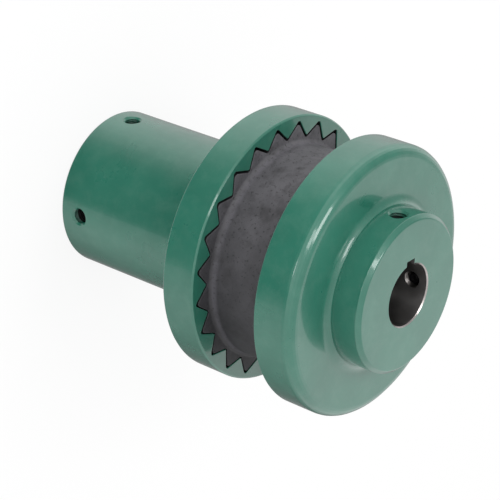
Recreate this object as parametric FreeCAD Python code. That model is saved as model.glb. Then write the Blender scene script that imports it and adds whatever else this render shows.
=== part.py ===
# Toothed-sleeve shaft coupling: two flanged hubs joined by a hollow rubber sleeve.
# Millimetres and degrees. +Z runs along the shaft axis from the pump end to the motor end.
# The long hub's end face lies on Z = 0, and both keyways face +X.

import FreeCAD
import Part
import math
import os

# Flange rims
flange_radius = 69.2
pump_rim_width = 19.4
motor_rim_width = 22.2
flange_gap = 37.1
pocket_depth = 14.5
rim_edge_chamfer = 0.8
motor_rim_round = 5.5

# Hubs
pump_hub_radius = 41.4
pump_hub_length = 93.3
pump_hub_edge_chamfer = 0.7
motor_hub_radius = 40.4
motor_hub_length = 17.8
motor_hub_edge_chamfer = 2.3

# Foot of the short hub: the flange face sweeps up to a narrow shoulder round the hub
foot_shoulder_width = 0.8
foot_shoulder_height = 2.2
foot_ramp_run = 1.9
foot_sweep_round = 5.5

# Bores and keyways
bore_radius = 15.875
bore_chamfer = 0.8
keyway_width = 6.35
keyway_depth = 2.85

# Teeth: the flanks of the sleeve's teeth meet at these radii before their corners are rounded
tooth_count = 24
tooth_crest_radius = 66.0
tooth_valley_radius = 57.7
tooth_crest_round = 1.0
tooth_valley_round = 1.4
tooth_clearance = 0.4
first_tooth_angle = 5.8

# Rubber sleeve
sleeve_end_gap = 0.3
sleeve_waist_radius = 55.0
sleeve_shoulder = 2.2
sleeve_bore_radius = 40.0
sleeve_bore_chamfer = 1.5

# Set screws and their tapped holes
screw_radius = 3.9
screw_length = 12.7
screw_play = 0.07
screw_end_chamfer = 0.7
screw_point_radius = 2.4
screw_cup_radius = 1.8
screw_cup_depth = 0.6
screw_socket_across = 3.97
screw_socket_depth = 5.5
screw_back_off = 0.6
countersink_radius = 5.2
pump_screw_setback = 12.0
motor_screw_setback = 8.8

# Heights along the shaft, from the pump end
pump_face_z = pump_hub_length + pump_rim_width
pump_floor_z = pump_face_z - pocket_depth
motor_face_z = pump_face_z + flange_gap
motor_floor_z = motor_face_z + pocket_depth
motor_front_z = motor_face_z + motor_rim_width
motor_end_z = motor_front_z + motor_hub_length
sleeve_low_z = pump_floor_z + sleeve_end_gap
sleeve_high_z = motor_floor_z - sleeve_end_gap
pump_screw_z = pump_screw_setback
motor_screw_z = motor_end_z - motor_screw_setback

# Cutters run this far past the faces that they cut through
past = 2.0

origin = FreeCAD.Vector(0, 0, 0)
shaft_axis = FreeCAD.Vector(0, 0, 1)


def rounded_wire(corners):
    """Closed wire through (point, radius) corners, each corner replaced by a tangent arc."""
    edges = []
    runs = []
    for index, (corner, radius) in enumerate(corners):
        before = (corners[index - 1][0] - corner).normalize()
        after = (corners[(index + 1) % len(corners)][0] - corner).normalize()
        if radius == 0:
            runs.append((corner, corner))
            continue
        half_angle = before.getAngle(after) / 2
        arc_start = corner + before * (radius / math.tan(half_angle))
        arc_end = corner + after * (radius / math.tan(half_angle))
        bisector = (before + after).normalize()
        arc_middle = corner + bisector * (radius / math.sin(half_angle) - radius)
        edges.append(Part.Arc(arc_start, arc_middle, arc_end).toShape())
        runs.append((arc_start, arc_end))
    for index, (run_start, _) in enumerate(runs):
        edges.append(Part.LineSegment(runs[index - 1][1], run_start).toShape())
    return Part.Wire(Part.__sortEdges__(edges))


def turned(profile):
    """Solid of revolution about the shaft axis from (radius, height, corner round) points."""
    corners = [(FreeCAD.Vector(radius, 0, height), corner_round) for radius, height, corner_round in profile]
    return Part.Face(rounded_wire(corners)).revolve(origin, shaft_axis, 360)


def toothed_prism(low_z, high_z, growth):
    """Prism of the sleeve's tooth outline, its flanks moved outwards by the growth."""
    half_pitch = math.pi / tooth_count
    flank_rise = tooth_crest_radius - tooth_valley_radius * math.cos(half_pitch)
    crest_half_angle = math.atan2(tooth_valley_radius * math.sin(half_pitch), flank_rise)
    crest = tooth_crest_radius + growth / math.sin(crest_half_angle)
    valley = tooth_valley_radius + growth / math.sin(crest_half_angle + half_pitch)
    corners = []
    for step in range(2 * tooth_count):
        is_crest = step % 2 == 0
        radius = crest if is_crest else valley
        corner_round = tooth_crest_round + growth if is_crest else tooth_valley_round - growth
        angle = math.radians(first_tooth_angle) + step * half_pitch
        point = FreeCAD.Vector(radius * math.cos(angle), radius * math.sin(angle), low_z)
        corners.append((point, corner_round))
    return Part.Face(rounded_wire(corners)).extrude(shaft_axis * (high_z - low_z))


def keyed_bore(low_z, high_z):
    """Cutter for a shaft bore between two faces, chamfered at both, with its keyway."""
    flare = bore_radius + bore_chamfer + past
    bore = turned([
        (0, low_z - past, 0),
        (flare, low_z - past, 0),
        (bore_radius, low_z + bore_chamfer, 0),
        (bore_radius, high_z - bore_chamfer, 0),
        (flare, high_z + past, 0),
        (0, high_z + past, 0),
    ])
    keyway_reach = bore_radius + keyway_depth
    corner = FreeCAD.Vector(0, -keyway_width / 2, low_z - past)
    keyway = Part.makeBox(keyway_reach, keyway_width, high_z - low_z + 2 * past, corner)
    return bore.fuse(keyway)


def outward(angle):
    """Unit vector square to the shaft, at this angle from the keyway."""
    return FreeCAD.Vector(math.cos(math.radians(angle)), math.sin(math.radians(angle)), 0)


def screw_hole(hub_radius, height, angle):
    """Cutter for one tapped hole from the hub's outside into its bore, with a countersink."""
    direction = outward(angle)
    level = FreeCAD.Vector(0, 0, height)
    hole_radius = screw_radius + screw_play
    hole = Part.makeCylinder(hole_radius, hub_radius + past, level, direction)
    sink_depth = countersink_radius - hole_radius
    sink_start = level + direction * (hub_radius - sink_depth)
    sink = Part.makeCone(hole_radius, countersink_radius + past, sink_depth + past, sink_start, direction)
    return hole.fuse(sink)


def pump_flange():
    """Long-hub half: hub, rim and toothed pocket in one piece."""
    body = turned([
        (0, 0, 0),
        (pump_hub_radius - pump_hub_edge_chamfer, 0, 0),
        (pump_hub_radius, pump_hub_edge_chamfer, 0),
        (pump_hub_radius, pump_hub_length, 0),
        (flange_radius - rim_edge_chamfer, pump_hub_length, 0),
        (flange_radius, pump_hub_length + rim_edge_chamfer, 0),
        (flange_radius, pump_face_z - rim_edge_chamfer, 0),
        (flange_radius - rim_edge_chamfer, pump_face_z, 0),
        (0, pump_face_z, 0),
    ])
    cutters = [
        toothed_prism(pump_floor_z, pump_face_z + past, tooth_clearance),
        keyed_bore(0, pump_floor_z),
        screw_hole(pump_hub_radius, pump_screw_z, 0),
        screw_hole(pump_hub_radius, pump_screw_z, 90),
    ]
    return body.cut(cutters)


def motor_flange():
    """Short-hub half: rim with a large outer round, swept foot, hub and toothed pocket."""
    foot_radius = motor_hub_radius + foot_shoulder_width
    foot_z = motor_front_z + foot_shoulder_height
    body = turned([
        (0, motor_face_z, 0),
        (flange_radius - rim_edge_chamfer, motor_face_z, 0),
        (flange_radius, motor_face_z + rim_edge_chamfer, 0),
        (flange_radius, motor_front_z, motor_rim_round),
        (foot_radius + foot_ramp_run, motor_front_z, foot_sweep_round),
        (foot_radius, foot_z, 0),
        (motor_hub_radius, foot_z, 0),
        (motor_hub_radius, motor_end_z - motor_hub_edge_chamfer, 0),
        (motor_hub_radius - motor_hub_edge_chamfer, motor_end_z, 0),
        (0, motor_end_z, 0),
    ])
    cutters = [
        toothed_prism(motor_face_z - past, motor_floor_z, tooth_clearance),
        keyed_bore(motor_floor_z, motor_end_z),
        screw_hole(motor_hub_radius, motor_screw_z, 0),
        screw_hole(motor_hub_radius, motor_screw_z, -90),
    ]
    return body.cut(cutters)


def rubber_sleeve():
    """Hollow moulded sleeve: teeth in both pockets, and a smooth waist between sloping shoulders."""
    blank = toothed_prism(sleeve_low_z, sleeve_high_z, 0)
    clear_radius = tooth_crest_radius + past
    waist = turned([
        (sleeve_waist_radius + sleeve_shoulder, pump_face_z, 0),
        (clear_radius, pump_face_z, 0),
        (clear_radius, motor_face_z, 0),
        (sleeve_waist_radius + sleeve_shoulder, motor_face_z, 0),
        (sleeve_waist_radius, motor_face_z - sleeve_shoulder, 0),
        (sleeve_waist_radius, pump_face_z + sleeve_shoulder, 0),
    ])
    flare = sleeve_bore_radius + sleeve_bore_chamfer + past
    bore = turned([
        (0, sleeve_low_z - past, 0),
        (flare, sleeve_low_z - past, 0),
        (sleeve_bore_radius, sleeve_low_z + sleeve_bore_chamfer, 0),
        (sleeve_bore_radius, sleeve_high_z - sleeve_bore_chamfer, 0),
        (flare, sleeve_high_z + past, 0),
        (0, sleeve_high_z + past, 0),
    ])
    return blank.cut([waist, bore])


def set_screw(tip_radius, height, angle):
    """Cup-point socket screw on a radial line, its point at this distance from the shaft axis."""
    screw = turned([
        (0, screw_cup_depth, 0),
        (screw_cup_radius, 0, 0),
        (screw_point_radius, 0, 0),
        (screw_radius, screw_radius - screw_point_radius, 0),
        (screw_radius, screw_length - screw_end_chamfer, 0),
        (screw_radius - screw_end_chamfer, screw_length, 0),
        (0, screw_length, 0),
    ])
    corner_radius = screw_socket_across / math.sqrt(3)
    socket_floor = screw_length - screw_socket_depth
    hexagon = []
    for side in range(6):
        turn = math.radians(60 * side)
        hexagon.append(FreeCAD.Vector(corner_radius * math.cos(turn), corner_radius * math.sin(turn), socket_floor))
    socket_face = Part.Face(Part.makePolygon(hexagon + hexagon[:1]))
    screw = screw.cut(socket_face.extrude(shaft_axis * (screw_socket_depth + past)))
    direction = outward(angle)
    turn_to_radial = FreeCAD.Rotation(shaft_axis, direction)
    place = direction * tip_radius + FreeCAD.Vector(0, 0, height)
    screw.Placement = FreeCAD.Placement(place, turn_to_radial)
    return screw


def key_screw(height):
    """Set screw over the keyway, its point just clear of the keyway's floor."""
    return set_screw(bore_radius + keyway_depth + screw_back_off, height, 0)


def side_screw(height, angle):
    """Set screw that bears on the shaft itself, its point just clear of the bore."""
    return set_screw(bore_radius + screw_back_off, height, angle)


pieces = {
    "pump_flange": pump_flange(),
    "rubber_sleeve": rubber_sleeve(),
    "motor_flange": motor_flange(),
    "pump_key_screw": key_screw(pump_screw_z),
    "pump_side_screw": side_screw(pump_screw_z, 90),
    "motor_key_screw": key_screw(motor_screw_z),
    "motor_side_screw": side_screw(motor_screw_z, -90),
}

os.makedirs("parts", exist_ok=True)
for name, shape in pieces.items():
    shape.exportStep("parts/" + name + ".step")
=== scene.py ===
# The looks of a toothed-sleeve shaft coupling, in metres, in the part's own frame.
# +Z runs along the shaft axis from the long hub to the short hub; both keyways face +X.

import math

import bpy
from mathutils import Euler, Matrix, Vector, noise


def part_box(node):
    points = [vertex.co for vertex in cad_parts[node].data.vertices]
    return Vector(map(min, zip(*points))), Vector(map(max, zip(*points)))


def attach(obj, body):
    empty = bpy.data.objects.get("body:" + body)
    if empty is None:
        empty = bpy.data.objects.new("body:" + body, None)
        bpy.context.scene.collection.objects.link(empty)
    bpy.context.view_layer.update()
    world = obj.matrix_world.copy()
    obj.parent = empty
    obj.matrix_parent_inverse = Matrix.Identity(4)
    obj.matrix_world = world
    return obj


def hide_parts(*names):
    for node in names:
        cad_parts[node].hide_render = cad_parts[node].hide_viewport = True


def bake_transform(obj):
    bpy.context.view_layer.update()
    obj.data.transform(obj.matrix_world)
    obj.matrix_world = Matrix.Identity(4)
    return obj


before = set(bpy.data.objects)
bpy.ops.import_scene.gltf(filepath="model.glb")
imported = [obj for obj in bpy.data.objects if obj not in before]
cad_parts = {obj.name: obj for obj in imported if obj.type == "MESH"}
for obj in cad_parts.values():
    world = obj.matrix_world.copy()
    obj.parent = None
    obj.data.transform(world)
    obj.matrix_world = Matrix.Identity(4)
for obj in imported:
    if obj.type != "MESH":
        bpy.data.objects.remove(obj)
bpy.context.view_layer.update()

MM = 0.001

# Heights along the shaft and the flanges' radius, from the frame
PUMP_LOW, PUMP_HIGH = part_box("pump_flange")
MOTOR_LOW, MOTOR_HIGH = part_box("motor_flange")
SLEEVE_LOW, SLEEVE_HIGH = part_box("rubber_sleeve")
PUMP_END_Z = PUMP_LOW.z
PUMP_FACE_Z = PUMP_HIGH.z
MOTOR_FACE_Z = MOTOR_LOW.z
MOTOR_END_Z = MOTOR_HIGH.z
SLEEVE_LOW_Z = SLEEVE_LOW.z
SLEEVE_HIGH_Z = SLEEVE_HIGH.z
FLANGE_RADIUS = PUMP_HIGH.x

# Flanges and hubs; a lead is the stretch that comes before a rounded edge
SLEEVE_END_GAP = 0.3 * MM
PUMP_FLOOR_Z = SLEEVE_LOW_Z - SLEEVE_END_GAP
MOTOR_FLOOR_Z = SLEEVE_HIGH_Z + SLEEVE_END_GAP
TOOTH_LENGTH = PUMP_FACE_Z - PUMP_FLOOR_Z
PUMP_HUB_RADIUS = 41.4 * MM
PUMP_RIM_WIDTH = 19.4 * MM
PUMP_HUB_TOP_Z = PUMP_FACE_Z - PUMP_RIM_WIDTH
PUMP_HUB_EDGE_ROUND = 0.8 * MM
PUMP_NECK_ROUND = 1.2 * MM
RIM_EDGE_BEVEL = 0.8 * MM
RIM_EDGE_ROUND = 0.45 * MM
RIM_EDGE_LEAD = 1.5 * RIM_EDGE_BEVEL
RIM_BACK_BEVEL = 1.4 * MM
MOTOR_HUB_LENGTH = 17.8 * MM
MOTOR_FRONT_Z = MOTOR_END_Z - MOTOR_HUB_LENGTH
MOTOR_RIM_ROUND = 5.5 * MM
MOTOR_HUB_RADIUS = 40.4 * MM
MOTOR_HUB_BEVEL = 2.0 * MM
MOTOR_HUB_OUTER_ROUND = 0.5 * MM
MOTOR_HUB_INNER_ROUND = 1.0 * MM
FOOT_SHOULDER_WIDTH = 0.8 * MM
FOOT_SHOULDER_HEIGHT = 2.2 * MM
FOOT_RADIUS = MOTOR_HUB_RADIUS + FOOT_SHOULDER_WIDTH
FOOT_TOP_Z = MOTOR_FRONT_Z + FOOT_SHOULDER_HEIGHT
FOOT_RAMP_RUN = 1.9 * MM
FOOT_SWEEP_ROUND = 5.5 * MM
FOOT_SHOULDER_ROUND = 0.3 * MM

# Bores and keyways
BORE_RADIUS = 15.875 * MM
BORE_CHAMFER = 0.6 * MM
KEYWAY_WIDTH = 6.35 * MM
KEYWAY_DEPTH = 2.85 * MM

# Teeth
TOOTH_COUNT = 24
CREST_RADIUS = 66.0 * MM
VALLEY_RADIUS = 57.7 * MM
CREST_ROUND = 1.0 * MM
SLEEVE_CREST_ROUND = 2.3 * MM
VALLEY_ROUND = 1.4 * MM
TOOTH_CLEARANCE = 0.55 * MM
FIRST_TOOTH_ANGLE = math.radians(5.8)
TOOTH_EDGE_ROUND = 0.35 * MM
SLEEVE_TOOTH_EDGE_ROUND = 0.3 * MM
TOOTH_FOOT_ROUND = 0.3 * MM
TOOTH_EDGE_LEAD = 2 * TOOTH_EDGE_ROUND
TOOTH_FOOT_LEAD = 2 * TOOTH_FOOT_ROUND
SLEEVE_END_LEAD = 2.5 * SLEEVE_TOOTH_EDGE_ROUND
SLEEVE_FACE_LEAD = 1.2 * SLEEVE_TOOTH_EDGE_ROUND
CREST_POINTS = 6
FLANK_POINTS = 4
VALLEY_POINTS = 6

# Sleeve
WAIST_RADIUS = 55.2 * MM
FILLET_RISE = 2.2 * MM
FILLET_RUN = 3.6 * MM
FILLET_POINTS = 9
SLEEVE_SHRINK = 0.35 * MM
SIDE_THAT_LAY_DOWN = Vector((-0.94, 0.342, 0))
SLEEVE_SAG = SIDE_THAT_LAY_DOWN * 0.35 * MM
SLEEVE_LEAN = math.radians(0.06)
SLEEVE_BORE_RADIUS = 40.0 * MM
SLEEVE_BORE_CHAMFER = 1.5 * MM
SLEEVE_UNEVENNESS = 0.10 * MM
SLEEVE_UNEVENNESS_SCALE = 55.0

# Set screws: a 5/16 in coarse thread
SCREW_RADIUS = 3.9 * MM
SCREW_LENGTH = 12.7 * MM
SCREW_PLAY = 0.07 * MM
THREAD_PITCH = 1.41 * MM
THREAD_DEPTH = 0.62 * MM
SOCKET_ACROSS = 3.97 * MM
SOCKET_DEPTH = 5.5 * MM
SCREW_END_CHAMFER = 0.7 * MM
SCREW_POINT_RADIUS = 2.4 * MM
SCREW_CUP_RADIUS = 1.8 * MM
SCREW_CUP_DEPTH = 0.6 * MM
SINK_RADIUS = 5.0 * MM
# Below the countersink the hole's wall is enamel darkened as painted shade for this depth, then a near-black
# thread as painted shade with some dirt; bare only within BARE_THREAD_DEPTH of the bore.
SINK_PAINT_DEPTH = 2.3 * MM
BARE_THREAD_DEPTH = 6.0 * MM
SINK_LIP_ROUND = 0.3 * MM
SINK_FLARE = 0.35 * MM
SINK_FLARE_RISE = 0.06 * MM
SINK_BELOW_LIP = 0.2 * MM
HOLE_START_RADIUS = 8 * MM

# Mesh fineness, and how far a cutter reaches past what it cuts
ARC_STEPS = 6
LONGEST_STEP = 2.5 * MM
SUPPORT_GAP = 0.25 * MM
WAIST_STEPS = 28
SLEEVE_BORE_STEPS = 30
SCREW_COLUMNS = 48
STEPS_PER_TURN = 8
NEAR_AXIS = 0.02 * MM
SMOOTH_UNDER = math.radians(32)
PAST = 2.0 * MM

# Camera, matched to the photograph
CAMERA_PLACE = Vector((419.6, 685.21, 636.62)) * MM
CAMERA_TURN = Euler([math.radians(angle) for angle in (-27.712, -50.848, -87.837)], "XYZ")
CAMERA_LENS = 137.99

# Studio light: 1 is white; the pairs are (azimuth in degrees, level)
FLOOR_GLOW_SHARE = 0.85
FLOOR_COLOUR = (0.88, 0.88, 0.88)
SKY_LIGHT = 0.94
ZENITH_IN_MIRROR = 0.62
STRAIGHT_DOWN_LEVEL = 0.80
BRIGHTEST = 2.5
SIDES_LIGHT = [(-180, 1.0), (-90, 1.35), (-20, 2.1), (45, 1.5), (110, 1.1), (180, 1.0)]
SKY_IN_MIRROR = [
    (-180, 0.95), (-140, 1.10), (-122, 1.05), (-112, 0.60), (-100, 0.33), (-70, 0.30), (-45, 0.42),
    (0, 0.75), (60, 0.80), (110, 0.95), (180, 0.95),
]
SIDES_IN_MIRROR = [(-180, 0.95), (-85, 0.95), (-50, 1.50), (-10, 1.40), (30, 0.9), (110, 0.95), (180, 0.95)]
BELOW_IN_MIRROR = [
    (-180, 0.24), (-157, 0.18), (-98, 0.42), (-80, 0.62), (-52, 0.88), (-35, 1.05), (-20, 1.0), (-6, 0.76),
    (8, 0.40), (24, 0.12), (40, 0.02), (91, 0.02), (99, 0.14), (106, 0.62), (113, 0.73), (135, 0.80),
    (160, 0.48), (180, 0.24),
]
SOFTBOX_DISTANCE = 1.0
SOFTBOX_TARGET = Vector((0, 0, 105)) * MM


# Profiles

def arc_chain(points):
    """Chain of (reach, z, round) points with each rounded corner replaced by points of its arc."""
    chain = []
    for index, (reach, z, corner_round) in enumerate(points):
        if corner_round == 0 or index in (0, len(points) - 1):
            chain.append((reach, z))
            continue
        corner = Vector((reach, z))
        before = (Vector(points[index - 1][:2]) - corner).normalized()
        after = (Vector(points[index + 1][:2]) - corner).normalized()
        half_angle = before.angle(after) / 2
        centre = corner + (before + after).normalized() * (corner_round / math.sin(half_angle))
        start = corner + before * (corner_round / math.tan(half_angle)) - centre
        end = corner + after * (corner_round / math.tan(half_angle)) - centre
        sweep = start.angle_signed(end)
        for step in range(ARC_STEPS + 1):
            spoke = start.copy()
            spoke.rotate(Matrix.Rotation(-sweep * step / ARC_STEPS, 2))
            chain.append(tuple(centre + spoke))
    return chain


def supported(chain):
    """The chain with points just inside both ends of each long straight run, and steps between them."""
    gap = SUPPORT_GAP
    result = [chain[0]]
    for start, end in zip(chain, chain[1:]):
        first, second = Vector(start), Vector(end)
        run = (second - first).length
        if run > 4 * gap:
            steps = max(1, math.ceil((run - 2 * gap) / LONGEST_STEP))
            for step in range(steps + 1):
                result.append(tuple(first.lerp(second, (gap + (run - 2 * gap) * step / steps) / run)))
        result.append(end)
    return result


def round_stations(points):
    """Stations of a chain that is turned about the shaft axis."""
    return [("round", reach, z) for reach, z in supported(arc_chain(points))]


def tooth_stations(points):
    """Stations of a chain that follows the teeth: reach is how far the flanks are moved outwards."""
    return [("tooth", reach, z) for reach, z in supported(arc_chain(points))]


# Outlines round the shaft axis

def tooth_outline(growth, plain_crest_round=CREST_ROUND):
    """Points round the sleeve's tooth outline, its flanks moved outwards by the growth."""
    half_pitch = math.pi / TOOTH_COUNT
    flank_rise = CREST_RADIUS - VALLEY_RADIUS * math.cos(half_pitch)
    crest_half = math.atan2(VALLEY_RADIUS * math.sin(half_pitch), flank_rise)
    valley_half = crest_half + half_pitch
    crest_round = plain_crest_round + growth
    valley_round = VALLEY_ROUND - growth
    crest_centre = CREST_RADIUS + (growth - crest_round) / math.sin(crest_half)
    valley_centre = VALLEY_RADIUS + (growth + valley_round) / math.sin(valley_half)
    crest_spread = math.pi / 2 - crest_half
    valley_spread = math.pi / 2 - valley_half
    crest = []
    for step in range(CREST_POINTS + 1):
        angle = crest_spread * (2 * step / CREST_POINTS - 1)
        crest.append(Vector((crest_centre + crest_round * math.cos(angle), crest_round * math.sin(angle))))
    valley = []
    for step in range(VALLEY_POINTS + 1):
        angle = valley_spread * (1 - 2 * step / VALLEY_POINTS)
        reach = valley_centre - valley_round * math.cos(angle)
        valley.append(Vector((reach, -valley_round * math.sin(angle))))
    valley = [turned_point(point, half_pitch) for point in valley]
    next_crest = turned_point(crest[0], 2 * half_pitch)
    pitch = crest + run_between(crest[-1], valley[0]) + valley + run_between(valley[-1], next_crest)
    outline = []
    for tooth in range(TOOTH_COUNT):
        turn = FIRST_TOOTH_ANGLE + tooth * 2 * half_pitch
        outline += [turned_point(point, turn) for point in pitch]
    return outline


def turned_point(point, angle):
    """The flat point turned about the shaft axis."""
    cosine, sine = math.cos(angle), math.sin(angle)
    return Vector((point.x * cosine - point.y * sine, point.x * sine + point.y * cosine))


def run_between(start, end):
    """Points inside the straight run between two points of a tooth's outline."""
    return [start.lerp(end, step / FLANK_POINTS) for step in range(1, FLANK_POINTS)]


def column_directions(crest_round):
    """Unit vectors from the shaft axis through the points of the plain tooth outline."""
    return [point.normalized() for point in tooth_outline(0.0, crest_round)]


# Meshes

def mesh_object(name, points, faces):
    """New object from points and the faces that join them."""
    mesh = bpy.data.meshes.new(name)
    mesh.from_pydata([tuple(point) for point in points], [], faces)
    mesh.validate()
    made = bpy.data.objects.new(name, mesh)
    bpy.context.scene.collection.objects.link(made)
    return made


def loop_faces(ring_count, ring_size, closed):
    """Quads between neighbouring rings; a closed loop also joins the last ring to the first."""
    faces = []
    last = ring_count if closed else ring_count - 1
    for ring in range(last):
        low = ring * ring_size
        high = ((ring + 1) % ring_count) * ring_size
        for column in range(ring_size):
            after = (column + 1) % ring_size
            faces.append((low + column, low + after, high + after, high + column))
    return faces


def swept_body(name, stations, crest_round=CREST_ROUND):
    """Closed ring-shaped body: a closed profile of stations carried once round the shaft axis."""
    directions = column_directions(crest_round)
    points = []
    for kind, reach, z in stations:
        if kind == "round":
            ring = [direction * reach for direction in directions]
        else:
            ring = tooth_outline(reach, crest_round)
        points += [(point.x, point.y, z) for point in ring]
    body = mesh_object(name, points, loop_faces(len(stations), len(directions), True))
    face_out(body)
    return body


def face_out(obj):
    """Turns the faces of a closed mesh outwards."""
    bpy.context.view_layer.objects.active = obj
    bpy.ops.object.select_all(action="DESELECT")
    obj.select_set(True)
    bpy.ops.object.mode_set(mode="EDIT")
    bpy.ops.mesh.select_all(action="SELECT")
    bpy.ops.mesh.normals_make_consistent(inside=False)
    bpy.ops.object.mode_set(mode="OBJECT")


def spun(name, radii, columns, wave=None):
    """Closed body turned about +Z from (radius, z) points; the wave adds to each ring's radius."""
    points = []
    for radius, z in radii:
        for column in range(columns):
            angle = 2 * math.pi * column / columns
            reach = radius + (wave(angle, z) if wave else 0.0)
            points.append((reach * math.cos(angle), reach * math.sin(angle), z))
    faces = loop_faces(len(radii), columns, False)
    faces.append(tuple(range(columns)))
    faces.append(tuple((len(radii) - 1) * columns + column for column in range(columns)))
    body = mesh_object(name, points, faces)
    face_out(body)
    return body


def cut_away(body, cutters):
    """Subtracts the cutters from the body, keeping the cutters' materials on the cut faces."""
    for cutter in cutters:
        modifier = body.modifiers.new("cut", "BOOLEAN")
        modifier.operation = "DIFFERENCE"
        modifier.solver = "EXACT"
        modifier.material_mode = "TRANSFER"
        modifier.object = cutter
        bpy.context.view_layer.objects.active = body
        bpy.ops.object.modifier_apply(modifier=modifier.name)
        bpy.data.objects.remove(cutter)


def shade(obj):
    """Smooth shading led by the larger faces, sharp where an edge turns by more than the limit."""
    obj.data.shade_smooth()
    obj.data.set_sharp_from_angle(angle=SMOOTH_UNDER)
    modifier = obj.modifiers.new("normals", "WEIGHTED_NORMAL")
    modifier.keep_sharp = True
    bpy.context.view_layer.objects.active = obj
    bpy.ops.object.modifier_apply(modifier=modifier.name)


def thread_rise(angle, z):
    """How far a V thread stands above its roots at this angle and height."""
    turn = (z / THREAD_PITCH - angle / (2 * math.pi)) % 1.0
    return THREAD_DEPTH * (1 - abs(2 * turn - 1))


def thread_steps(low, high):
    """How many steps draw a thread between two heights."""
    return int((high - low) / (THREAD_PITCH / STEPS_PER_TURN))


def along(direction, start):
    """Matrix that carries +Z from the origin to this direction from the start."""
    return Matrix.Translation(start) @ direction.to_track_quat("Z", "Y").to_matrix().to_4x4()


# Pieces

def middle_of(node):
    """Middle of the frame's box round a node."""
    low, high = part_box(node)
    return Vector(((low.x + high.x) / 2, (low.y + high.y) / 2, (low.z + high.z) / 2))


def paint(body, finish, parts, part_at):
    """Gives each face of a body the finish of the part that part_at names for it."""
    for part in parts:
        body.data.materials.append(finish[part])
    for face in body.data.polygons:
        face.material_index = parts.index(part_at(face))


def keyway_cutter(low_z, high_z, material):
    """Square-sided cutter from the shaft axis to the keyway's floor."""
    reach = BORE_RADIUS + KEYWAY_DEPTH
    half = KEYWAY_WIDTH / 2
    points = []
    for z in (low_z - PAST, high_z + PAST):
        points += [(0, -half, z), (reach, -half, z), (reach, half, z), (0, half, z)]
    faces = [(3, 2, 1, 0), (4, 5, 6, 7), (0, 1, 5, 4), (1, 2, 6, 5), (2, 3, 7, 6), (3, 0, 4, 7)]
    cutter = mesh_object("keyway_cutter", points, faces)
    cutter.data.materials.append(material)
    return cutter


def screw_hole_cutter(hub_radius, height, angle, finish):
    """Threaded hole from the bore to the hub's outside, ending in a countersink with a soft lip."""
    hole_radius = SCREW_RADIUS + SCREW_PLAY
    sink_start = hub_radius - (SINK_RADIUS - hole_radius) - SINK_BELOW_LIP
    radii = []
    for step in range(thread_steps(HOLE_START_RADIUS, sink_start) + 1):
        radii.append((hole_radius, HOLE_START_RADIUS + step * THREAD_PITCH / STEPS_PER_TURN))
    radii += arc_chain([
        (hole_radius, sink_start, 0),
        (SINK_RADIUS, hub_radius, SINK_LIP_ROUND),
        (SINK_RADIUS + SINK_FLARE, hub_radius + SINK_FLARE_RISE, 0),
        (SINK_RADIUS + SINK_FLARE, hub_radius + PAST, 0),
    ])

    def wave(angle_round, z):
        fade = (sink_start - z) / (THREAD_PITCH / 2)
        return thread_rise(angle_round, z) * min(1.0, max(0.0, fade))

    def part_at(face):
        if face.center.z > sink_start:
            return "enamel"
        # Inside the hole: darker enamel, then near-black thread, as painted shade (the thread also with some
        # dirt); bare thread only near the bore.
        if face.center.z > sink_start - SINK_PAINT_DEPTH:
            return "shaded_sink_enamel"
        if face.center.z > BORE_RADIUS + BARE_THREAD_DEPTH:
            return "shaded_dirty_thread"
        return "thread"

    cutter = spun("hole_cutter", radii, SCREW_COLUMNS, wave)
    paint(cutter, finish, ["thread", "shaded_dirty_thread", "shaded_sink_enamel", "enamel"], part_at)
    bend_to_hub(cutter, sink_start, hub_radius)
    outward = Vector((math.cos(angle), math.sin(angle), 0))
    cutter.data.transform(along(outward, Vector((0, 0, height))))
    return cutter


def bend_to_hub(cutter, sink_start, hub_radius):
    """Lowers the countersink's sides, so that its lip follows the hub's round surface."""
    for vertex in cutter.data.vertices:
        if vertex.co.z > sink_start:
            vertex.co.z -= hub_radius - math.sqrt(hub_radius ** 2 - vertex.co.x ** 2)


def paint_flange(flange, finish, face_z):
    """Enamel outside, bare bore and bore edges, and tooth walls darkened with painted shade behind their
    edge.
    """
    def part_at(face):
        reach = math.hypot(face.center.x, face.center.y)
        if reach < BORE_RADIUS + 0.02 * BORE_CHAMFER:
            return "bore"
        if reach < BORE_RADIUS + 0.98 * BORE_CHAMFER:
            return "bore_edge"
        # Tooth walls below the edge round get near-black enamel: painted shade for the narrow gap between
        # the teeth.
        upright = abs(face.normal.z) < 0.5
        at_teeth = VALLEY_RADIUS - VALLEY_ROUND < reach < CREST_RADIUS + 1.5 * TOOTH_CLEARANCE
        behind_edge = TOOTH_EDGE_ROUND < abs(face.center.z - face_z) < TOOTH_LENGTH
        return "shaded_tooth_wall" if upright and at_teeth and behind_edge else "enamel"

    paint(flange, finish, ["enamel", "bore", "bore_edge", "shaded_tooth_wall"], part_at)


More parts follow.
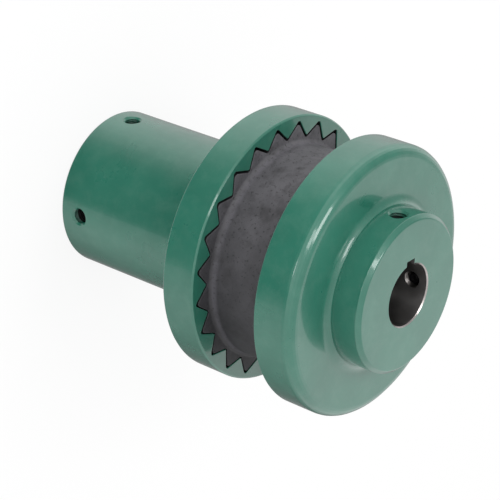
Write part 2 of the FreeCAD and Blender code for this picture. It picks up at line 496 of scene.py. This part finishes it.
def pump_flange(finish):
    """Long-hub half."""
    floor, face, end = PUMP_FLOOR_Z, PUMP_FACE_Z, PUMP_END_Z
    wall = TOOTH_CLEARANCE
    stations = tooth_stations([
        (wall - TOOTH_FOOT_LEAD, floor, 0),
        (wall, floor, TOOTH_FOOT_ROUND),
        (wall, face, TOOTH_EDGE_ROUND),
        (wall + TOOTH_EDGE_LEAD, face, 0),
    ])
    stations += round_stations([
        (FLANGE_RADIUS - RIM_EDGE_LEAD, face, 0),
        (FLANGE_RADIUS - RIM_EDGE_BEVEL, face, RIM_EDGE_ROUND),
        (FLANGE_RADIUS, face - RIM_EDGE_BEVEL, RIM_EDGE_ROUND),
        (FLANGE_RADIUS, PUMP_HUB_TOP_Z + RIM_BACK_BEVEL, RIM_EDGE_ROUND),
        (FLANGE_RADIUS - RIM_BACK_BEVEL, PUMP_HUB_TOP_Z, RIM_EDGE_ROUND),
        (PUMP_HUB_RADIUS, PUMP_HUB_TOP_Z, PUMP_NECK_ROUND),
        (PUMP_HUB_RADIUS, end, PUMP_HUB_EDGE_ROUND),
        (BORE_RADIUS + BORE_CHAMFER, end, 0),
        (BORE_RADIUS, end + BORE_CHAMFER, 0),
        (BORE_RADIUS, floor - BORE_CHAMFER, 0),
        (BORE_RADIUS + BORE_CHAMFER, floor, 0),
    ])
    flange = swept_body("long_hub_flange", stations)
    paint_flange(flange, finish, face)
    screw_z = middle_of("pump_key_screw").z
    cut_away(flange, [
        keyway_cutter(end, floor, finish["bore"]),
        screw_hole_cutter(PUMP_HUB_RADIUS, screw_z, 0, finish),
        screw_hole_cutter(PUMP_HUB_RADIUS, screw_z, math.pi / 2, finish),
    ])
    shade(flange)
    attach(flange, "pump_half")
    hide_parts("pump_flange")


def motor_flange(finish):
    """Short-hub half."""
    floor, face, end = MOTOR_FLOOR_Z, MOTOR_FACE_Z, MOTOR_END_Z
    wall = TOOTH_CLEARANCE
    stations = tooth_stations([
        (wall + TOOTH_EDGE_LEAD, face, 0),
        (wall, face, TOOTH_EDGE_ROUND),
        (wall, floor, TOOTH_FOOT_ROUND),
        (wall - TOOTH_FOOT_LEAD, floor, 0),
    ])
    stations += round_stations([
        (BORE_RADIUS + BORE_CHAMFER, floor, 0),
        (BORE_RADIUS, floor + BORE_CHAMFER, 0),
        (BORE_RADIUS, end - BORE_CHAMFER, 0),
        (BORE_RADIUS + BORE_CHAMFER, end, 0),
        (MOTOR_HUB_RADIUS - MOTOR_HUB_BEVEL, end, MOTOR_HUB_INNER_ROUND),
        (MOTOR_HUB_RADIUS, end - MOTOR_HUB_BEVEL, MOTOR_HUB_OUTER_ROUND),
        (MOTOR_HUB_RADIUS, FOOT_TOP_Z, 0),
        (FOOT_RADIUS, FOOT_TOP_Z, FOOT_SHOULDER_ROUND),
        (FOOT_RADIUS + FOOT_RAMP_RUN, MOTOR_FRONT_Z, FOOT_SWEEP_ROUND),
        (FLANGE_RADIUS, MOTOR_FRONT_Z, MOTOR_RIM_ROUND),
        (FLANGE_RADIUS, face + RIM_EDGE_BEVEL, RIM_EDGE_ROUND),
        (FLANGE_RADIUS - RIM_EDGE_BEVEL, face, RIM_EDGE_ROUND),
        (FLANGE_RADIUS - RIM_EDGE_LEAD, face, 0),
    ])
    flange = swept_body("short_hub_flange", stations)
    paint_flange(flange, finish, face)
    screw_z = middle_of("motor_key_screw").z
    cut_away(flange, [
        keyway_cutter(floor, end, finish["bore"]),
        screw_hole_cutter(MOTOR_HUB_RADIUS, screw_z, 0, finish),
        screw_hole_cutter(MOTOR_HUB_RADIUS, screw_z, -math.pi / 2, finish),
    ])
    shade(flange)
    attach(flange, "motor_half")
    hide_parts("motor_flange")


def split_run(low, high, count):
    """Heights between two heights, so that a straight run can twist and bow."""
    return [low + (high - low) * step / count for step in range(1, count)]


def fillet_stations(face_z, inward):
    """Hollow fillet from a tooth face down to the waist; inward is +1 or -1 along the shaft axis."""
    stations = []
    for step in range(FILLET_POINTS + 1):
        angle = math.pi / 2 * step / FILLET_POINTS
        reach = WAIST_RADIUS + FILLET_RISE * (1 - math.sin(angle))
        stations.append(("round", reach, face_z + inward * FILLET_RUN * (1 - math.cos(angle))))
    return stations


def paint_sleeve(sleeve, finish):
    """Rubber all over, with painted shade on the tooth flanks that sit in the narrow gap inside the flanges.
    """
    def part_at(face):
        on_tooth = math.hypot(face.center.x, face.center.y) > WAIST_RADIUS
        inside = max(PUMP_FACE_Z - face.center.z, face.center.z - MOTOR_FACE_Z)
        # Tooth flanks inside the flanges get near-black rubber: painted shade for the narrow gap they sit
        # in.
        return "shaded_flank" if on_tooth and inside > SLEEVE_TOOTH_EDGE_ROUND else "rubber"

    paint(sleeve, finish, ["rubber", "shaded_flank"], part_at)


def make_uneven(sleeve):
    """Moves the sleeve's waist and fillets in and out by a slow noise."""
    between_walls = (SLEEVE_BORE_RADIUS + WAIST_RADIUS) / 2
    for vertex in sleeve.data.vertices:
        place = vertex.co.copy()
        reach = math.hypot(place.x, place.y)
        if PUMP_FACE_Z < place.z < MOTOR_FACE_Z and between_walls < reach < WAIST_RADIUS + FILLET_RISE:
            push = noise.noise(place * SLEEVE_UNEVENNESS_SCALE) * SLEEVE_UNEVENNESS
            vertex.co += Vector((place.x, place.y, 0)).normalized() * push


def rubber_sleeve(finish):
    """Moulded sleeve with teeth at both ends and a slightly uneven waist."""
    low, high = SLEEVE_LOW_Z, SLEEVE_HIGH_Z
    edge = SLEEVE_TOOTH_EDGE_ROUND
    wall = -SLEEVE_SHRINK
    stations = tooth_stations([
        (wall - SLEEVE_END_LEAD, high, 0),
        (wall, high, edge),
        (wall, MOTOR_FACE_Z, edge),
        (wall - SLEEVE_FACE_LEAD, MOTOR_FACE_Z, 0),
    ])
    stations += fillet_stations(MOTOR_FACE_Z, -1)
    waist_top, waist_bottom = MOTOR_FACE_Z - FILLET_RUN, PUMP_FACE_Z + FILLET_RUN
    stations += [("round", WAIST_RADIUS, z) for z in split_run(waist_top, waist_bottom, WAIST_STEPS)]
    stations += reversed(fillet_stations(PUMP_FACE_Z, 1))
    stations += tooth_stations([
        (wall - SLEEVE_FACE_LEAD, PUMP_FACE_Z, 0),
        (wall, PUMP_FACE_Z, edge),
        (wall, low, edge),
        (wall - SLEEVE_END_LEAD, low, 0),
    ])
    stations += [
        ("round", SLEEVE_BORE_RADIUS + SLEEVE_BORE_CHAMFER, low),
        ("round", SLEEVE_BORE_RADIUS, low + SLEEVE_BORE_CHAMFER),
    ]
    stations += [("round", SLEEVE_BORE_RADIUS, z) for z in split_run(low, high, SLEEVE_BORE_STEPS)[1:-1]]
    stations += [
        ("round", SLEEVE_BORE_RADIUS, high - SLEEVE_BORE_CHAMFER),
        ("round", SLEEVE_BORE_RADIUS + SLEEVE_BORE_CHAMFER, high),
    ]
    sleeve = swept_body("toothed_sleeve", stations, SLEEVE_CREST_ROUND)
    make_uneven(sleeve)
    sleeve.data.transform(Matrix.Translation(SLEEVE_SAG) @ Matrix.Rotation(SLEEVE_LEAN, 4, "Z"))
    paint_sleeve(sleeve, finish)
    shade(sleeve)
    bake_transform(sleeve)
    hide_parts("rubber_sleeve")


def set_screw(node, body, finish):
    """Cup-point socket screw with a cut thread, where the frame's screw is."""
    middle = middle_of(node)
    radial = Vector((middle.x, middle.y, 0)).normalized()
    tip = middle - radial * SCREW_LENGTH / 2
    root = SCREW_RADIUS - THREAD_DEPTH
    thread_low = SCREW_RADIUS - SCREW_POINT_RADIUS
    thread_high = SCREW_LENGTH - SCREW_END_CHAMFER
    steps = thread_steps(thread_low, thread_high)
    profile = [(NEAR_AXIS, SCREW_CUP_DEPTH), (SCREW_CUP_RADIUS, 0), (SCREW_POINT_RADIUS, 0)]
    profile += [(root, thread_low + (thread_high - thread_low) * step / steps) for step in range(steps + 1)]
    profile += [(SCREW_RADIUS - SCREW_END_CHAMFER, SCREW_LENGTH)]

    def wave(angle, z):
        if z < thread_low or z > thread_high:
            return 0.0
        ends = min(z - thread_low, thread_high - z) / (THREAD_PITCH / 2)
        return thread_rise(angle, z) * min(1.0, ends)

    screw = spun(node + "_body", profile, SCREW_COLUMNS, wave)
    corner = SOCKET_ACROSS / math.sqrt(3)
    socket = spun("socket_cutter", [(corner, SCREW_LENGTH - SOCKET_DEPTH), (corner, SCREW_LENGTH + PAST)], 6)
    screw.data.materials.append(finish["screw"])
    socket.data.materials.append(finish["screw"])
    cut_away(screw, [socket])
    screw.data.transform(along(radial, tip))
    shade(screw)
    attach(screw, body)
    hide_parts(node)


# Materials

class Nodes:
    """Small helper that adds nodes to one node tree and joins them."""

    def __init__(self, tree, coordinates="Object"):
        self.tree = tree
        self.place = self.add("ShaderNodeTexCoord").outputs[coordinates]

    def add(self, kind, **settings):
        """New node of this kind with these settings."""
        node = self.tree.nodes.new(kind)
        for key, value in settings.items():
            setattr(node, key, value)
        return node

    def join(self, source, target):
        """Sets the target socket to a plain value, or joins an output to it."""
        if isinstance(source, bpy.types.NodeSocket):
            self.tree.links.new(source, target)
        elif isinstance(source, tuple):
            target.default_value = (*source, 1.0)
        else:
            target.default_value = source

    def noise(self, scale, detail=3.0, roughness=0.5, stretch=None):
        """Noise of that many waves a metre."""
        node = self.add("ShaderNodeTexNoise")
        node.inputs["Scale"].default_value = scale
        node.inputs["Detail"].default_value = detail
        node.inputs["Roughness"].default_value = roughness
        source = self.place
        if stretch:
            mapping = self.add("ShaderNodeMapping")
            mapping.inputs["Scale"].default_value = stretch
            self.join(self.place, mapping.inputs["Vector"])
            source = mapping.outputs["Vector"]
        self.join(source, node.inputs["Vector"])
        return node.outputs["Fac"]

    def ramp(self, value, low, high, to_low=0.0, to_high=1.0):
        """The value's range from low to high, carried to another range."""
        node = self.add("ShaderNodeMapRange")
        node.inputs["From Min"].default_value = low
        node.inputs["From Max"].default_value = high
        node.inputs["To Min"].default_value = to_low
        node.inputs["To Max"].default_value = to_high
        self.join(value, node.inputs["Value"])
        return node.outputs["Result"]

    def mix(self, share, first, second):
        """Colour mix of two colours, each an output or a plain colour."""
        node = self.add("ShaderNodeMix", data_type="RGBA")
        self.join(share, node.inputs["Factor"])
        self.join(first, node.inputs["A"])
        self.join(second, node.inputs["B"])
        return node.outputs["Result"]

    def blend(self, share, first, second):
        """Mix of two numbers, each an output or a plain number."""
        node = self.add("ShaderNodeMix", data_type="FLOAT")
        self.join(share, node.inputs["Factor"])
        self.join(first, node.inputs["A"])
        self.join(second, node.inputs["B"])
        return node.outputs["Result"]

    def calculate(self, operation, first, second):
        """One step of arithmetic on two numbers."""
        node = self.add("ShaderNodeMath", operation=operation)
        self.join(first, node.inputs[0])
        self.join(second, node.inputs[1])
        return node.outputs[0]

    def bump(self, height, strength, distance, before=None):
        """Surface normal tilted by the height, after another bump where one is given."""
        node = self.add("ShaderNodeBump")
        node.inputs["Strength"].default_value = strength
        node.inputs["Distance"].default_value = distance
        self.join(height, node.inputs["Height"])
        if before:
            self.join(before, node.inputs["Normal"])
        return node.outputs["Normal"]


def new_material(name):
    """New material, the helper on its nodes and its shader."""
    material = bpy.data.materials.new(name)
    material.use_nodes = True
    nodes = Nodes(material.node_tree)
    return material, nodes, material.node_tree.nodes["Principled BSDF"]


def enamel_material():
    """Semi-gloss green machine enamel, a little uneven, with a pale handling haze and soft orange peel."""
    material, nodes, shader = new_material("green_enamel")
    deep_green = (0.0130, 0.125, 0.083)
    fair_green = (0.0190, 0.147, 0.099)
    pale_haze = (0.13, 0.25, 0.20)
    clouds = nodes.ramp(nodes.noise(38.0, 4.0), 0.35, 0.68)
    colour = nodes.mix(clouds, deep_green, fair_green)
    haze = nodes.ramp(nodes.noise(130.0, 6.0, 0.68), 0.46, 0.72, 0.0, 0.14)
    colour = nodes.mix(haze, colour, pale_haze)
    nodes.join(colour, shader.inputs["Base Color"])
    nodes.join(nodes.ramp(nodes.noise(60.0, 5.0), 0.3, 0.7, 0.26, 0.36), shader.inputs["Roughness"])
    peel = nodes.bump(nodes.noise(300.0, 1.0), 0.012, 0.0004)
    nodes.join(peel, shader.inputs["Normal"])
    shader.inputs["Coat Weight"].default_value = 1.0
    shader.inputs["Coat Roughness"].default_value = 0.075
    return material


def fillet_highlight_share(nodes):
    """Share of a painted highlight: a lighter band along the sleeve's two fillets, by the height along the
    resting sleeve.
    """
    split = nodes.add("ShaderNodeSeparateXYZ")
    nodes.join(nodes.add("ShaderNodeTexCoord").outputs["Generated"], split.inputs["Vector"])
    height = nodes.ramp(split.outputs["Z"], 0.0, 1.0, SLEEVE_LOW_Z, SLEEVE_HIGH_Z)
    from_pump = nodes.calculate("SUBTRACT", height, PUMP_FACE_Z)
    from_motor = nodes.calculate("SUBTRACT", MOTOR_FACE_Z, height)
    from_face = nodes.calculate("MINIMUM", from_pump, from_motor)
    in_fillet = nodes.ramp(from_face, 0.5 * MM, 1.6 * MM)
    out_of_fillet = nodes.ramp(from_face, 4.4 * MM, 2.8 * MM)
    return nodes.calculate("MULTIPLY", nodes.calculate("MINIMUM", in_fillet, out_of_fillet), 0.35)


def rubber_material():
    """Dark grey moulded rubber, painted lighter on the side it lay with up and darker towards the side that
    lay down as painted light and shade, with a painted highlight along the fillets, mottled with specks and
    stains.
    """
    material, nodes, shader = new_material("sleeve_rubber")
    pale_highlight = (0.135, 0.130, 0.152)
    blotch_grey = (0.036, 0.035, 0.038)
    stain_grey = (0.026, 0.025, 0.027)
    speck_grey = (0.018, 0.018, 0.019)
    bloom = nodes.ramp(nodes.noise(60.0, 6.0, 0.65), 0.36, 0.64)
    # Painted light and shade: lighter towards the side that lay up, darker towards the side that lay down.
    shaded_low_side = nodes.mix(bloom, (0.020, 0.0196, 0.0226), (0.034, 0.0334, 0.0384))
    lit_high_side = nodes.mix(bloom, (0.086, 0.084, 0.093), (0.114, 0.111, 0.122))
    upward = nodes.add("ShaderNodeVectorMath", operation="DOT_PRODUCT")
    nodes.join(nodes.place, upward.inputs[0])
    upward.inputs[1].default_value = -SLEEVE_SAG.normalized() / WAIST_RADIUS
    colour = nodes.mix(nodes.ramp(upward.outputs["Value"], -0.65, 0.95), shaded_low_side, lit_high_side)
    # A lighter band along the two fillets: painted highlight.
    colour = nodes.mix(fillet_highlight_share(nodes), colour, pale_highlight)
    blotches = nodes.ramp(nodes.noise(260.0, 4.0, 0.6), 0.50, 0.70, 0.0, 0.50)
    colour = nodes.mix(blotches, colour, blotch_grey)
    stains = nodes.ramp(nodes.noise(95.0, 3.0, 0.5), 0.55, 0.72, 0.0, 0.6)
    colour = nodes.mix(stains, colour, stain_grey)
    specks = nodes.ramp(nodes.noise(700.0, 2.0, 0.5), 0.60, 0.72, 0.0, 0.8)
    colour = nodes.mix(specks, colour, speck_grey)
    nodes.join(colour, shader.inputs["Base Color"])
    nodes.join(nodes.ramp(nodes.noise(70.0, 4.0), 0.3, 0.7, 0.56, 0.72), shader.inputs["Roughness"])
    pores = nodes.bump(specks, -0.30, 0.0003)
    grain = nodes.bump(nodes.noise(1500.0, 3.0), 0.20, 0.0003, pores)
    nodes.join(grain, shader.inputs["Normal"])
    return material


def machined_material(name, colour_low, colour_high, rough_low, rough_high, drawn_out=0.0):
    """Bare turned metal with faint fine rings round the shaft axis, its highlights drawn out along it."""
    material, nodes, shader = new_material(name)
    rings = nodes.noise(1.0, 3.0, 0.6, stretch=(40.0, 40.0, 2600.0))
    patches = nodes.noise(130.0, 4.0)
    colour = nodes.mix(nodes.ramp(patches, 0.3, 0.7), colour_low, colour_high)
    nodes.join(colour, shader.inputs["Base Color"])
    nodes.join(nodes.ramp(patches, 0.3, 0.7, rough_low, rough_high), shader.inputs["Roughness"])
    nodes.join(nodes.bump(rings, 0.05, 0.0002), shader.inputs["Normal"])
    shader.inputs["Metallic"].default_value = 1.0
    shader.inputs["Anisotropic"].default_value = drawn_out
    shader.inputs["Anisotropic Rotation"].default_value = 0.25
    turn = nodes.add("ShaderNodeTangent", direction_type="RADIAL", axis="Z")
    nodes.join(turn.outputs["Tangent"], shader.inputs["Tangent"])
    return material


def plain_material(name, colour, roughness):
    """Dull surface of one colour."""
    material, nodes, shader = new_material(name)
    nodes.join(colour, shader.inputs["Base Color"])
    nodes.join(roughness, shader.inputs["Roughness"])
    return material


def black_oxide_material():
    """Black oxide screws, worn a little brighter in patches."""
    material, nodes, shader = new_material("screw_steel")
    wear = nodes.ramp(nodes.noise(600.0, 4.0), 0.5, 0.75)
    nodes.join(nodes.mix(wear, (0.030, 0.030, 0.033), (0.10, 0.10, 0.10)), shader.inputs["Base Color"])
    nodes.join(nodes.ramp(wear, 0.0, 1.0, 0.45, 0.35), shader.inputs["Roughness"])
    shader.inputs["Metallic"].default_value = 1.0
    return material


# Studio

def round_levels(nodes, stops):
    """Level by compass direction round the shaft axis, from (azimuth in degrees, level) stops."""
    turn = nodes.add("ShaderNodeTexGradient", gradient_type="RADIAL")
    nodes.join(nodes.place, turn.inputs["Vector"])
    node = nodes.add("ShaderNodeValToRGB")
    nodes.join(turn.outputs["Fac"], node.inputs["Fac"])
    elements = node.color_ramp.elements
    for azimuth, level in stops:
        position = (azimuth + 180) / 360
        ends = {0.0: elements[0], 1.0: elements[len(elements) - 1]}
        element = ends[position] if position in ends else elements.new(position)
        grey = level / BRIGHTEST
        element.color = (grey, grey, grey, 1)
    return nodes.ramp(node.outputs["Color"], 0.0, 1.0, 0.0, BRIGHTEST)


def studio_floor():
    """Pale floor that looks white to the camera but keeps a soft shadow."""
    reach = 3.0
    drop = 0.2 * MM
    points = [(-reach, -reach, -drop), (reach, -reach, -drop), (reach, reach, -drop), (-reach, reach, -drop)]
    floor = mesh_object("floor", points, [(0, 1, 2, 3)])
    material, nodes, shader = new_material("floor")
    shader.inputs["Base Color"].default_value = (*FLOOR_COLOUR, 1)
    shader.inputs["Roughness"].default_value = 0.9
    shader.inputs["Specular IOR Level"].default_value = 0.0
    path = nodes.add("ShaderNodeLightPath")
    direct = nodes.calculate("MAXIMUM", path.outputs["Is Camera Ray"], path.outputs["Is Transmission Ray"])
    glow = nodes.add("ShaderNodeEmission")
    white = nodes.add("ShaderNodeMixShader")
    nodes.join(nodes.calculate("MULTIPLY", direct, FLOOR_GLOW_SHARE), white.inputs["Fac"])
    nodes.join(shader.outputs[0], white.inputs[1])
    nodes.join(glow.outputs[0], white.inputs[2])
    clear = nodes.add("ShaderNodeMixShader")
    nodes.join(path.outputs["Is Glossy Ray"], clear.inputs["Fac"])
    nodes.join(white.outputs[0], clear.inputs[1])
    nodes.join(nodes.add("ShaderNodeBsdfTransparent").outputs[0], clear.inputs[2])
    nodes.join(clear.outputs[0], nodes.tree.nodes["Material Output"].inputs["Surface"])
    floor.data.materials.append(material)


def studio_world():
    """Bright sky with a bright side; polished surfaces also mirror a dark side below the horizon."""
    world = bpy.data.worlds.new("studio")
    bpy.context.scene.world = world
    world.use_nodes = True
    nodes = Nodes(world.node_tree, "Generated")
    split = nodes.add("ShaderNodeSeparateXYZ")
    nodes.join(nodes.place, split.inputs["Vector"])
    height = split.outputs["Z"]
    light = nodes.blend(nodes.ramp(height, 0.10, 0.80), round_levels(nodes, SIDES_LIGHT), SKY_LIGHT)
    below = round_levels(nodes, BELOW_IN_MIRROR)
    below = nodes.blend(nodes.ramp(height, -0.9, -0.68), STRAIGHT_DOWN_LEVEL, below)
    mirrored = nodes.blend(nodes.ramp(height, -0.30, 0.05), below, round_levels(nodes, SIDES_IN_MIRROR))
    mirrored = nodes.blend(nodes.ramp(height, 0.05, 0.50), mirrored, round_levels(nodes, SKY_IN_MIRROR))
    mirrored = nodes.blend(nodes.ramp(height, 0.80, 0.95), mirrored, ZENITH_IN_MIRROR)
    path = nodes.add("ShaderNodeLightPath")
    level = nodes.blend(path.outputs["Is Glossy Ray"], light, mirrored)
    background = world.node_tree.nodes["Background"]
    background.inputs["Color"].default_value = (1, 1, 1, 1)
    nodes.join(nodes.blend(path.outputs["Is Camera Ray"], level, 1.0), background.inputs["Strength"])


def sky_direction(azimuth, height):
    """Unit vector at this azimuth from +X and this angle above the floor, in degrees."""
    turn, lift = math.radians(azimuth), math.radians(height)
    return Vector((math.cos(turn) * math.cos(lift), math.sin(turn) * math.cos(lift), math.sin(lift)))


def softbox(name, azimuth, height, size, brightness):
    """Area light that faces the middle of the coupling, as bright as the brightness times white."""
    toward = sky_direction(azimuth, height)
    data = bpy.data.lights.new(name, "AREA")
    data.shape = "RECTANGLE"
    data.size, data.size_y = size
    data.energy = brightness * math.pi * size[0] * size[1]
    light = bpy.data.objects.new(name, data)
    bpy.context.scene.collection.objects.link(light)
    light.location = SOFTBOX_TARGET + toward * SOFTBOX_DISTANCE
    light.rotation_euler = toward.to_track_quat("Z", "Y").to_euler()


def studio_lights():
    """Three small softboxes on the camera's side."""
    softbox("overhead", 15, 64, (0.34, 0.24), 6.5)
    softbox("upper", 43, 47, (0.22, 0.24), 4.5)
    softbox("low", 69, 1, (0.20, 0.34), 4.5)


def camera():
    """Camera at the photograph's place, turn and lens."""
    data = bpy.data.cameras.new("camera")
    data.lens = CAMERA_LENS
    data.sensor_width = 36.0
    data.clip_start = 0.05
    data.clip_end = 20.0
    made = bpy.data.objects.new("camera", data)
    made.location = CAMERA_PLACE
    made.rotation_euler = CAMERA_TURN
    bpy.context.scene.collection.objects.link(made)
    bpy.context.scene.camera = made


finish = {
    "enamel": enamel_material(),
    "rubber": rubber_material(),
    "bore": machined_material("bare_bore", (0.27, 0.265, 0.26), (0.33, 0.32, 0.315), 0.30, 0.36, 0.80),
    "bore_edge": machined_material("bare_bore_edge", (0.34, 0.31, 0.30), (0.58, 0.54, 0.53), 0.22, 0.32),
    # Near-black enamel on the flanges' tooth walls: painted shade in the gap between the teeth.
    "shaded_tooth_wall": plain_material("enamel_with_painted_shade", (0.010, 0.016, 0.013), 0.6),
    # Near-black rubber on the sleeve's tooth flanks: painted shade in the gap inside the flanges.
    "shaded_flank": plain_material("rubber_with_painted_shade", (0.007, 0.007, 0.008), 0.7),
    # Darker enamel inside the screw holes: painted shade.
    "shaded_sink_enamel": plain_material("shaded_sink_enamel", (0.006, 0.070, 0.046), 0.30),
    "thread": machined_material("tapped_thread", (0.22, 0.21, 0.20), (0.34, 0.32, 0.31), 0.30, 0.42),
    # Near-black thread deep in the screw holes: painted shade with some dirt.
    "shaded_dirty_thread": machined_material("shaded_dirty_thread", (0.010, 0.011, 0.011), (0.022, 0.022, 0.022), 0.45, 0.6),
    "screw": black_oxide_material(),
}
pump_flange(finish)
rubber_sleeve(finish)
motor_flange(finish)
for screw_node in ("pump_key_screw", "pump_side_screw", "motor_key_screw", "motor_side_screw"):
    set_screw(screw_node, screw_node, finish)
studio_floor()
studio_world()
studio_lights()
camera()
bpy.context.scene.view_settings.view_transform = "Standard"
